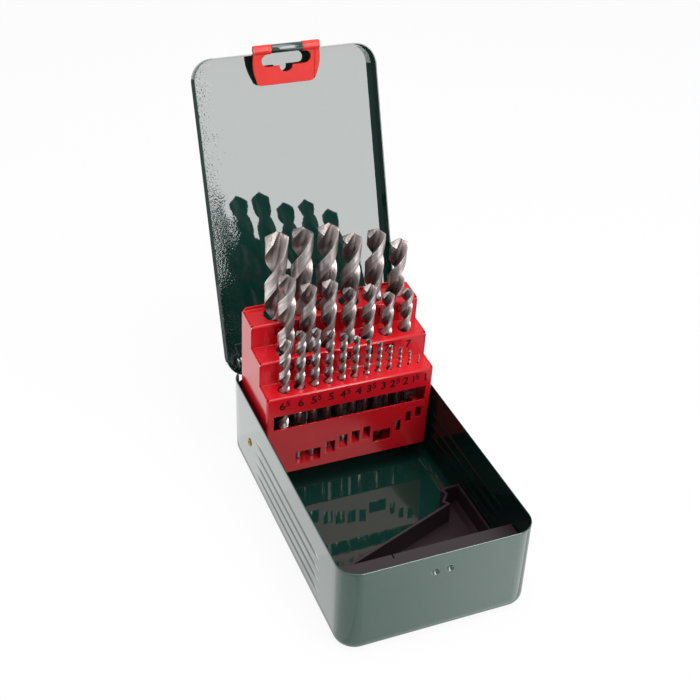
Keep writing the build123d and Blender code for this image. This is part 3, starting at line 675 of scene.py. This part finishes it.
def drill_surface(radius, length, flute, tip_flute):
    """A drill that stands on the origin: points, quads, fans, flute depth and grinding.

    The angle of a point is its section angle minus a full turn per lead below the tip. Its
    radius is the section's, faded in over the run-out by u (2 - u). The top row lies on a cone
    whose edges stand highest at the margins and fall by the relief slope behind them. The top
    flute faces tip_flute.
    """
    angle = section_angles()
    share = section_radius(angle)
    helix = np.interp(radius, (FAST_RADIUS, SLOW_RADIUS), (FAST_HELIX, SLOW_HELIX))
    lead = 2 * math.pi * radius / math.tan(helix)
    start = length - flute
    turn = np.mod(angle, math.pi)
    behind = np.where(turn < LAND, turn, LAND * (math.pi - turn) / (math.pi - LAND))
    top = length - radius * share * (1 / math.tan(POINT_HALF_ANGLE) + RELIEF_SLOPE * behind)
    rows = int(flute / lead * 360 / DEGREES_PER_ROW) + 2
    z = start + np.linspace(0, 1, rows)[:, None] * (top - start)
    u = np.clip((z - start) / (2 * radius * RUN_OUT), 0, 1)
    r = radius * (1 - u * (2 - u) * (1 - share))
    around = angle + tip_flute - (math.pi - FLUTE_HALF) - 2 * math.pi * (length - z) / lead

    shank_z, shank_r = shank_rows(radius, start)
    even = np.ones((len(shank_z), len(angle)))
    z = np.vstack([shank_z * even, z])
    r = np.vstack([shank_r * even, r])
    around = np.vstack([around[:1] * even, around])
    grid = np.stack([r * np.cos(around), r * np.sin(around), z], -1)
    points = np.vstack([grid.reshape(-1, 3), [[0, 0, FOOT_GAP], [0, 0, length]]])
    depth = 1 - r / radius
    depth[:len(shank_z) + 1] = SHANK
    around = angle * np.ones_like(z)
    untwisted = np.stack([np.cos(around), np.sin(around), z / radius / GRIND_STRETCH], -1)
    grinding = np.vstack([GRIND_SCALE * untwisted.reshape(-1, 3), np.zeros((2, 3))])
    return points, grid_quads(*z.shape), end_fans(*z.shape), np.r_[depth.ravel(), SHANK, TIP_DEPTH], grinding


print("a drill has", len(section_angles()), "columns")

# %% [markdown]
# ## Where the drills stand
#
# The rack leans a little, and every drill stands along it. The foot of a drill is read from
# the lowest ring of points of its CAD model, its length from the tip, and the length of its
# flutes from the usual jobber series. Each drill was dropped into its hole by hand, so the
# flutes face this way and that. The foot is lifted by a hair, so that it doesn't share a face
# with the sheet that it stands on.

# %% Places of the drills
RACK_LEAN = math.radians(3.475)
RACK_UP = np.array([0.0, -math.sin(RACK_LEAN), math.cos(RACK_LEAN)])
RACK_BACK = np.array([0.0, math.cos(RACK_LEAN), math.sin(RACK_LEAN)])
RING_DEPTH = 0.02 * MM
DRILL_SIZES = {node: float(node[6:].replace("_", ".")) for node in sorted(nodes)
               if node.startswith("drill_") and node[6:].replace("_", "").isdigit()}


def drill_axis(node):
    """Foot of a CAD drill's axis and the drill's length, from its lowest ring and its tip."""
    points = mesh_points(node)
    height = points @ RACK_UP
    ring = points[height < height.min() + RING_DEPTH]
    return (ring.min(0) + ring.max(0)) / 2, height.max() - height.min()


print("drills from", min(DRILL_SIZES.values()), "to", max(DRILL_SIZES.values()), "mm")

# %% Build the drills
# The jobber series, in mm: whole length and length of the flutes.
FLUTE_OF_LENGTH = {151: 101, 142: 94, 133: 87, 125: 81, 117: 75, 109: 69, 101: 63, 93: 57, 86: 52,
                   80: 47, 75: 43, 70: 39, 61: 33, 57: 30, 49: 24, 40: 18, 34: 12}
TIP_FLUTE, TIP_SPREAD, TIP_STEP = math.radians(-62), math.radians(20), 2.4
NOISE_STEP = 7.0
DRILL_SHARP_ANGLE = 28.0
for count, (node, size) in enumerate(DRILL_SIZES.items()):
    foot, length = drill_axis(node)
    flute = FLUTE_OF_LENGTH[round(length / MM)] * MM
    facing = TIP_FLUTE + TIP_SPREAD * math.sin(TIP_STEP * count)
    points, quads, fans, depth, grinding = drill_surface(size / 2 * MM, length, flute, facing)
    standing = foot + points[:, :1] * [1.0, 0, 0] + points[:, 1:2] * RACK_BACK + points[:, 2:] * RACK_UP
    mesh = make_mesh(f"ground_{node}", standing, quads, fans, sharp_angle=DRILL_SHARP_ANGLE)
    flute_depth = mesh.attributes.new("flute_depth", "FLOAT", "POINT")
    flute_depth.data.foreach_set("value", depth.astype(np.float32))
    streaks = mesh.attributes.new("grinding", "FLOAT_VECTOR", "POINT")
    streaks.data.foreach_set("vector", (grinding + NOISE_STEP * count).astype(np.float32).ravel())
    place_piece(f"ground_{node}", mesh, ["drill_steel"], f"bit_{node[6:]}", [node])
print("drills", len(DRILL_SIZES))

# %% [markdown]
# ## The pressed case
#
# The case body is drawn from one sheet, so it is built as one surface. Every column of the
# grid starts on a small rectangle inside the case and goes outwards along its own direction:
# straight out along the sides, fanned out at the corners. A row is then only an inset from the
# outside and a height: from the flat bottom over the round edge, up the wall, over the rim and
# back down inside. Grooves and dimples push both sides of the sheet inwards by smooth bumps,
# and columns and rows stand closer together there.

# %% Sizes of the case body
CASE_LOW, CASE_HIGH = (np.array(corner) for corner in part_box("base_case"))
CASE_X, CASE_Y, CASE_TOP = CASE_HIGH[0], -CASE_LOW[1], CASE_HIGH[2]
SHEET, CORNER, BOTTOM_EDGE = 0.7 * MM, 12.0 * MM, 7.0 * MM
RIM_MIDDLE = CASE_TOP - SHEET / 2
GROOVE_HEIGHTS = np.array([14.7, 22.3, 30.0, 38.0]) * MM
GROOVE_BACK, GROOVE_FRONT = 40.95 * MM, -56.95 * MM
GROOVE_HALF, GROOVE_DEPTH, GROOVE_RAMP = 1.8 * MM, 0.5 * MM, 2.4 * MM
DIMPLE_X, DIMPLE_Z = 4.05 * MM, 44.2 * MM
DIMPLE_RADIUS, DIMPLE_DEPTH = 2.4 * MM, 1.4 * MM
NOTCH_HALF, NOTCH_FLOOR, NOTCH_BEND = 51.2 * MM, 48.7 * MM, 46.5 * MM
print("case body", np.round(2000 * CASE_X, 1), "x", np.round(2000 * CASE_Y, 1), "mm")

# %% Columns around the case
SIDE_COLUMNS, FRONT_COLUMNS, CORNER_COLUMNS = 34, 26, 13


def spaced(first, limit, step):
    """Places from first up to the limit, all three in mm, as metres."""
    return np.arange(first, limit, step) * MM


def columns_of_case():
    """Start points and outward directions of the columns, once around from the right side.

    A wall's columns share one direction. A corner's columns share one start and fan out over a
    quarter turn, with two close together at each end of the hinge notch.
    """
    half = np.array([CASE_X - CORNER, CASE_Y - CORNER])
    groove_ends = np.r_[GROOVE_FRONT + spaced(-1, 4, 0.4), GROOVE_BACK + spaced(-4, 1, 0.4)]
    side = np.unique(np.r_[np.linspace(-half[1], half[1], SIDE_COLUMNS), groove_ends])
    at_dimples = spaced(-6.6, 6.7, 0.3)
    front = np.unique(np.r_[np.linspace(-half[0], half[0], FRONT_COLUMNS), at_dimples])
    notch = math.degrees(math.acos((NOTCH_HALF - half[0]) / CORNER))
    fan = np.unique(np.r_[np.linspace(0, 90, CORNER_COLUMNS), notch - 0.5, notch + 0.5])
    fan = np.radians(fan[1:-1])
    fan_back = np.pi / 2 - fan[::-1]
    walls = (((1, 0), side), ((0, 1), -front), ((-1, 0), -side), ((0, -1), front))
    starts, ways = [], []
    for quarter, (way, places) in enumerate(walls):
        way, along = np.array(way), np.array([-way[1], way[0]])
        starts.append(way * half + np.abs(along) * places[:, None])
        ways.append(np.tile(way, (len(places), 1)))
        turn = quarter * np.pi / 2 + (fan if quarter % 2 == 0 else fan_back)
        starts.append(np.tile((way + along) * half, (len(turn), 1)))
        ways.append(np.stack([np.cos(turn), np.sin(turn)], -1))
    return np.vstack(starts), np.vstack(ways)


starts, ways = columns_of_case()
print("columns", len(starts))

# %% Rows over the sheet
BEND_ROWS, RIM_ROWS, HIGH_ROWS = 9, 5, 6
END_INSET = BOTTOM_EDGE + 1.5 * MM


def rows_of_case():
    """Insets and heights of the rows: outer face upwards, rim, inner face downwards.

    An edge of radius R is a quarter circle: inset R (1 - sin t) and height R (1 - cos t).
    """
    at_grooves = (GROOVE_HEIGHTS[:, None] + spaced(-2.2, 2.3, 0.4)).ravel()
    low_wall = np.r_[spaced(8.5, 46, 1.5), 46 * MM, spaced(42.0, 46.6, 0.35), at_grooves]
    high_wall = np.linspace(47 * MM, RIM_MIDDLE, HIGH_ROWS)
    wall = np.r_[np.unique(np.round(low_wall, 6)), high_wall]
    bend = np.linspace(0, np.pi / 2, BEND_ROWS)
    quarter = np.stack([1 - np.sin(bend), 1 - np.cos(bend)], -1)
    outer = BOTTOM_EDGE * quarter
    inner = SHEET + (BOTTOM_EDGE - SHEET) * quarter
    over = np.linspace(0, np.pi, RIM_ROWS + 2)[1:-1]
    rim = np.stack([SHEET / 2 * (1 - np.cos(over)), RIM_MIDDLE + SHEET / 2 * np.sin(over)], -1)
    up = np.stack([np.zeros_like(wall), wall], -1)
    down = np.stack([np.full_like(wall, SHEET), wall], -1)[::-1]
    return np.vstack([[[END_INSET, 0.0]], outer, up, rim, down, inner[::-1], [[END_INSET, SHEET]]])


profile = rows_of_case()
print("rows", len(profile))

# %% Grooves, dimples and the hinge notch
STRAIGHT = 0.999


def pressed_in(starts, ways, z):
    """How far the sheet is pressed in: cos^2 grooves on the sides, and in front round dimples
    that fall off as (1 - distance^2) to the power 1.5."""
    x, y = starts[:, 0], starts[:, 1]
    ends = np.clip((y - GROOVE_FRONT) / GROOVE_RAMP, 0, 1) * np.clip((GROOVE_BACK - y) / GROOVE_RAMP, 0, 1)
    across = sum(np.cos(np.pi / 2 * np.clip(np.abs(z - height) / GROOVE_HALF, 0, 1)) ** 2
                 for height in GROOVE_HEIGHTS)
    on_side, on_front = np.abs(ways[:, 0]) > STRAIGHT, ways[:, 1] < -STRAIGHT
    apart = np.hypot(np.abs(x) - DIMPLE_X, z - DIMPLE_Z) / DIMPLE_RADIUS
    dimples = DIMPLE_DEPTH * np.clip(1 - apart**2, 0, 1) ** 1.5
    return GROOVE_DEPTH * across * ends * on_side + dimples * on_front


def case_grid(starts, ways, profile):
    """Rows x columns points: start + way x (corner radius - inset), at the row's height.

    In the hinge notch the wall above NOTCH_BEND is squeezed down to the notch's floor.
    """
    every_column = np.ones(len(starts))
    inset, z = profile[:, :1] * every_column, profile[:, 1:] * every_column
    outside = starts + ways * CORNER
    in_notch = (np.abs(outside[:, 0]) < NOTCH_HALF) & (outside[:, 1] > 0)
    share = np.clip((z - NOTCH_BEND) / (RIM_MIDDLE - NOTCH_BEND), 0, 1)
    z = z + share * (NOTCH_FLOOR - CASE_TOP) * in_notch
    inset = inset + pressed_in(starts, ways, z)
    flat = starts + ways * (CORNER - inset)[:, :, None]
    return np.concatenate([flat, z[:, :, None]], -1)


grid = case_grid(starts, ways, profile)
print("grid of", grid.shape[0], "rows x", grid.shape[1], "columns")

# %% [markdown]
# ## Hinge knuckles
#
# The lid turns on a wire that runs through five rolled knuckles, three of them on the case.
# A knuckle is a short tube: a rectangle turned about the line of the wire. The helper that
# turns it serves the rivets below as well. A leaf, a small block, ties each tube to the wall.

# %% Knuckles and leaves
HINGE_Y, HINGE_Z = joints["lid_swing"]["pos_m"][1:]
HINGE_LENGTH, KNUCKLES = 80.0 * MM, 5
KNUCKLE_OUTSIDE, KNUCKLE_INSIDE, KNUCKLE_GAP = 1.62 * MM, 1.06 * MM, 0.3 * MM
KNUCKLE_SIDES, LEAF_GAP, LEAF_ROOT = 40, 0.2 * MM, 1.0 * MM


def turned_on_x(along, radius, y, z, sides, side=1):
    """A row of points per (along, radius), turned about the line along X through y and z:
    y + radius cos(t) and z + radius sin(t). Side -1 turns the other way around."""
    turn = side * np.linspace(0, 2 * np.pi, sides, endpoint=False)
    along = np.asarray(along)[:, None] * np.ones(sides)
    radius = np.asarray(radius)[:, None]
    grid = np.stack([along, y + radius * np.cos(turn), z + radius * np.sin(turn)], -1)
    return grid.reshape(-1, 3)


def knuckle(left, right):
    """Points and quads of a closed tube around the hinge line."""
    radii = (KNUCKLE_OUTSIDE, KNUCKLE_OUTSIDE, KNUCKLE_INSIDE, KNUCKLE_INSIDE)
    points = turned_on_x((left, right, right, left), radii, HINGE_Y, HINGE_Z, KNUCKLE_SIDES)
    return points, grid_quads(4, KNUCKLE_SIDES, ring=True)


def leaf(left, right):
    """Points and outward quads of a block from the notch's floor up to the knuckle."""
    low = (left, CASE_Y - SHEET, NOTCH_FLOOR - LEAF_ROOT)
    high = (right, CASE_Y, HINGE_Z - KNUCKLE_INSIDE - LEAF_GAP)
    corners = np.stack(np.meshgrid(*zip(low, high), indexing="ij"), -1).reshape(-1, 3)
    return corners, np.array([(0, 1, 3, 2), (4, 6, 7, 5), (0, 4, 5, 1),
                              (2, 3, 7, 6), (0, 2, 6, 4), (1, 5, 7, 3)])


pitch = HINGE_LENGTH / KNUCKLES
hinge_parts = []
for first in range(0, KNUCKLES, 2):
    left = -HINGE_LENGTH / 2 + first * pitch + KNUCKLE_GAP / 2
    right = left + pitch - KNUCKLE_GAP
    hinge_parts += [knuckle(left, right), leaf(left, right)]
hinge_points, hinge_quads = joined(hinge_parts)
print("knuckles on the case", len(hinge_parts) // 2)

# %% [markdown]
# ## The case body as one piece
#
# The grid's two open ends are flat polygons, one under the case and one on its floor. The rows
# also say which paint a face takes: full gloss outside, a thin coat on the inner walls, and
# gloss again on the floor and its rounded edge. The inner walls and the floor also take a darker
# green than the outside: painted shade inside the box.

# %% Build the case body
rows, columns = grid.shape[:2]
quads = grid_quads(rows, columns)
ring = np.arange(columns)
ends = np.stack([ring[::-1], (rows - 1) * columns + ring])
points = np.vstack([grid.reshape(-1, 3), hinge_points])
mesh = make_mesh("pressed_case", points, quads, ends, hinge_quads + rows * columns)
paints = ["case_paint", "case_inside", "case_floor"]
place_piece("pressed_case", mesh, paints, "case", ["base_case"])

rim_row = int(np.argmax(profile[:, 1]))
floor_row = rows - BEND_ROWS - 1
# The inner walls and the floor take the darker greens: painted shade inside the box.
skin = np.zeros(len(mesh.polygons), np.int32)
skin[rim_row * columns:floor_row * columns] = paints.index("case_inside")
skin[floor_row * columns:len(quads)] = paints.index("case_floor")
skin[len(quads) + 1] = paints.index("case_floor")
mesh.polygons.foreach_set("material_index", skin)
print("case body from", np.round(points.min(0) / MM, 2), "to", np.round(points.max(0) / MM, 2))
print("in CAD    from", np.round(CASE_LOW / MM, 2), "to", np.round(CASE_HIGH / MM, 2))

# %% [markdown]
# ## Tubular rivets
#
# The rack turns on two brass rivets in the side walls. They are hollow, and their end is
# rolled over into a rounded collar with a hole in it. A turned part is a profile carried
# around its axis, so a dozen points of (distance outwards, radius) are the whole drawing. The
# first and the last lie inside the case and down the hole, and fans close them.

# %% Rivets
RIVET_PROFILE = np.array([(-5.0, 1.45), (-5.0, 2.1), (-4.2, 2.1), (-4.2, 1.48), (0.0, 1.48), (0.0, 2.5),
                          (0.35, 2.5), (0.6, 2.3), (0.72, 1.8), (0.62, 1.4), (0.3, 1.15), (-2.5, 1.1)]) * MM
RIVET_SIDES = 32
PIVOT_Y, PIVOT_Z = joints["rack_tilt"]["pos_m"][1:]


def rivet(side):
    """One rivet, closed at both ends, whose collar lies on the wall of this side (-1 or 1)."""
    along = side * (CASE_X + RIVET_PROFILE[:, 0])
    grid = turned_on_x(along, RIVET_PROFILE[:, 1], PIVOT_Y, PIVOT_Z, RIVET_SIDES, side)
    ends = [[along[0], PIVOT_Y, PIVOT_Z], [along[-1], PIVOT_Y, PIVOT_Z]]
    size = (len(along), RIVET_SIDES)
    return np.vstack([grid, ends]), grid_quads(*size), end_fans(*size)


mesh = make_mesh("tubular_rivets", *joined([rivet(-1), rivet(1)]))
place_piece("tubular_rivets", mesh, ["rivet_brass"], "case", ["pivot_rivets"])
print("rivets with", len(mesh.polygons), "faces")

# %% [markdown]
# ## Size numbers
#
# The fronts of the rack carry plain size numbers, one before each drill, and half sizes have a
# small raised 5. Printed ink has no thickness to speak of, but an image would blur up close.
# So the digits of Blender's own font are turned into meshes first, made bold and one unit
# high, and then laid on the sheet as a film of ink.

# %% Digits as meshes
GLYPH_BOLD = 0.026
GLYPH_WELD = 1e-5


def font_mesh(text):
    """Blender's mesh of a string, extruded to a thickness of one and with its seams welded."""
    curve = bpy.data.curves.new("glyph", "FONT")
    curve.body = text
    curve.resolution_u = 6
    curve.extrude = 0.5
    holder = bpy.data.objects.new("glyph", curve)
    mesh = bpy.data.meshes.new_from_object(holder)
    welded = bmesh.new()
    welded.from_mesh(mesh)
    bmesh.ops.remove_doubles(welded, verts=welded.verts, dist=GLYPH_WELD)
    welded.to_mesh(mesh)
    welded.free()
    bpy.data.objects.remove(holder)
    bpy.data.curves.remove(curve)
    return mesh


def glyph(text):
    """Points, caps and sides of a bold string one unit high and one thick, its foot at y = 0.

    Bold: every point goes outwards by the mitre of its two sides, whose unit normals add up to
    s, so it moves by 2 s / |s|^2 times the boldness.
    """
    mesh = font_mesh(text)
    points = read_array(mesh.vertices, "co", np.float32, 3).astype(float)
    corners = read_array(mesh.loops, "vertex_index", np.int32)
    starts = read_array(mesh.polygons, "loop_start", np.int32)
    totals = read_array(mesh.polygons, "loop_total", np.int32)
    normals = read_array(mesh.polygons, "normal", np.float32, 3).astype(float)
    bpy.data.meshes.remove(mesh)
    caps = corners[starts[totals == 3][:, None] + np.arange(3)]
    sides = corners[starts[totals == 4][:, None] + np.arange(4)]
    outwards = np.zeros_like(points)
    np.add.at(outwards, sides, normals[totals == 4][:, None, :])
    points += 2 * GLYPH_BOLD * outwards / (outwards**2).sum(1, keepdims=True)
    points[:, :2] -= points[:, :2].min(0)
    points[:, :2] /= points[:, 1].max()
    return points, caps, sides


print("an 8 has", len(glyph("8")[0]), "points")

# %% Numbers on a row of the rack
INK_DEPTH = 0.012 * MM
DIGIT_HEIGHT, RAISED_HEIGHT, DIGIT_GAP = 5.5 * MM, 4.0 * MM, 0.5 * MM
RACK_ORIGIN = np.array([0.0, 33.79, 73.74]) * MM


def label(size):
    """A size centred on x = 0: whole millimetres, and for a half a smaller 5 raised to the top."""
    words = [(str(int(size)), DIGIT_HEIGHT, 0.0)]
    if size % 1:
        words.append(("5", RAISED_HEIGHT, DIGIT_HEIGHT - RAISED_HEIGHT + DIGIT_GAP))
    parts, left = [], 0.0
    for text, tall, lift in words:
        points, *faces = glyph(text)
        points = points * [tall, tall, 1.0] + [left, lift, 0.0]
        left = points[:, 0].max() + DIGIT_GAP
        parts.append((points, *faces))
    points, *faces = joined(parts)
    return points - [left / 2, 0.0, 0.0], *faces


def number_row(name, sizes, places, back, height):
    """One piece with a number at each place: back and height are measured along the rack's
    own directions from RACK_ORIGIN, the front edge of the top of its lowest step."""
    labels = []
    for size, place in zip(sizes, places):
        points, *faces = label(size)
        labels.append((points + [place, 0.0, 0.0], *faces))
    flat, *faces = joined(labels)
    printed = (RACK_ORIGIN + flat[:, :1] * [1.0, 0, 0] + (flat[:, 1:2] + height) * RACK_UP
               + (back - flat[:, 2:] * 2 * INK_DEPTH) * RACK_BACK)
    place_piece(name, make_mesh(name, printed, *faces), ["ink"], "rack")


def row_of(low, high):
    """Sizes and x places of the drills between two sizes, left to right."""
    row = [(drill_axis(node)[0][0], size) for node, size in DRILL_SIZES.items() if low <= size <= high]
    places, sizes = np.array(sorted(row)).T
    return sizes, places


print("the front row has", len(row_of(1.0, 6.5)[0]), "drills")

# %% Print the three rows
FRONT_SHIFT = (-1.5 * MM, 2.5 * MM)
sizes, places = row_of(1.0, 6.5)
number_row("numbers_front", sizes, places + np.interp(places, (places[0], places[-1]), FRONT_SHIFT),
           back=0.0, height=-8.7 * MM)
number_row("numbers_middle", *row_of(7.0, 10.0), back=13.95 * MM, height=7.2 * MM)
number_row("numbers_back", *row_of(10.5, 13.0), back=29.68 * MM, height=22.2 * MM)

# %% [markdown]
# ## Finish
